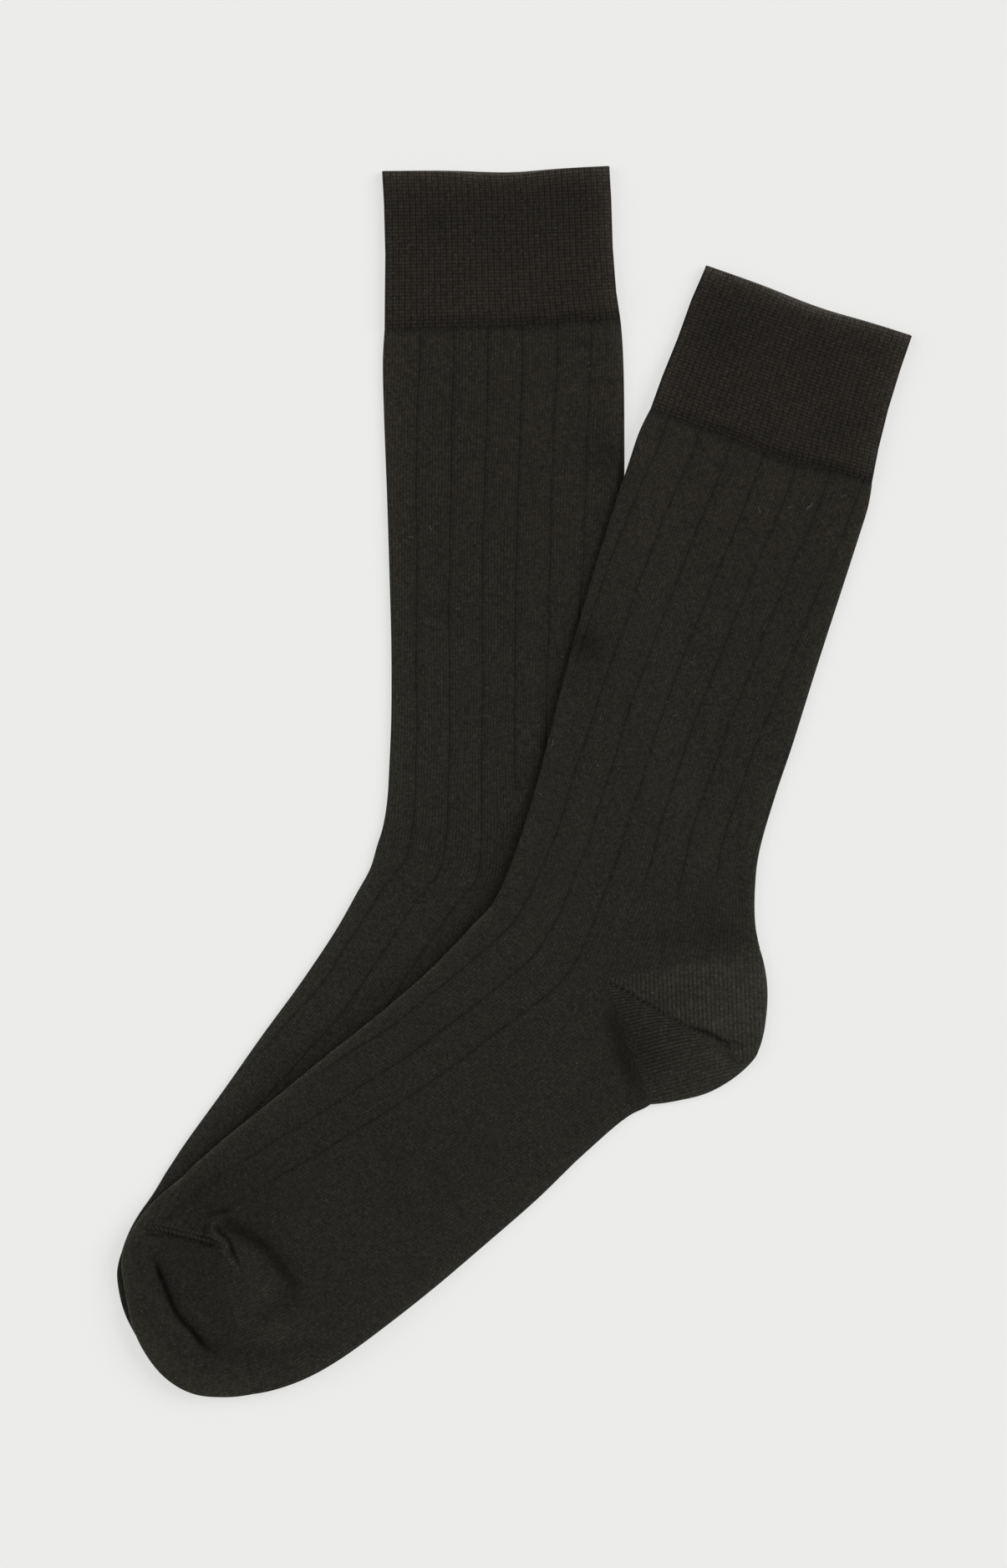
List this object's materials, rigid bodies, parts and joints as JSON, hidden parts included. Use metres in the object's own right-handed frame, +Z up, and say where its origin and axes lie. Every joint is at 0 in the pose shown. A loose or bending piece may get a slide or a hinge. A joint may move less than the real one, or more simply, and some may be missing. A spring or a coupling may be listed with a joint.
{
  "type": "pair of socks",
  "caption": "Mid-calf dress socks in dark knit with a ribbed welt, wide-rib leg and instep, plain sole, and pocket heel and toe, laid flat one across the other.",
  "frame": {"origin": "centre of the bounding box, on the surface that the socks lie on", "axes": "+Z up from the surface, +Y from the toes towards the cuffs, +X to the right seen from above with the cuffs at the top"},
  "size_m": [0.285, 0.441, 0.0081],
  "materials": {
    "welt_knit": "matt fine rib knit",
    "leg_knit": "matt knit in wide ribs parted by drop-needle lines",
    "heel_knit": "matt plain knit, a shade lighter above the heel",
    "toe_knit": "matt plain knit"
  },
  "bodies": {
    "root": {"under_welt": "welt_knit", "under_leg_and_foot": "leg_knit", "under_heel": "heel_knit", "under_toe": "toe_knit", "over_welt": "welt_knit", "over_leg_and_foot": "leg_knit", "over_heel": "heel_knit", "over_toe": "toe_knit"}
  },
  "joints": []
}
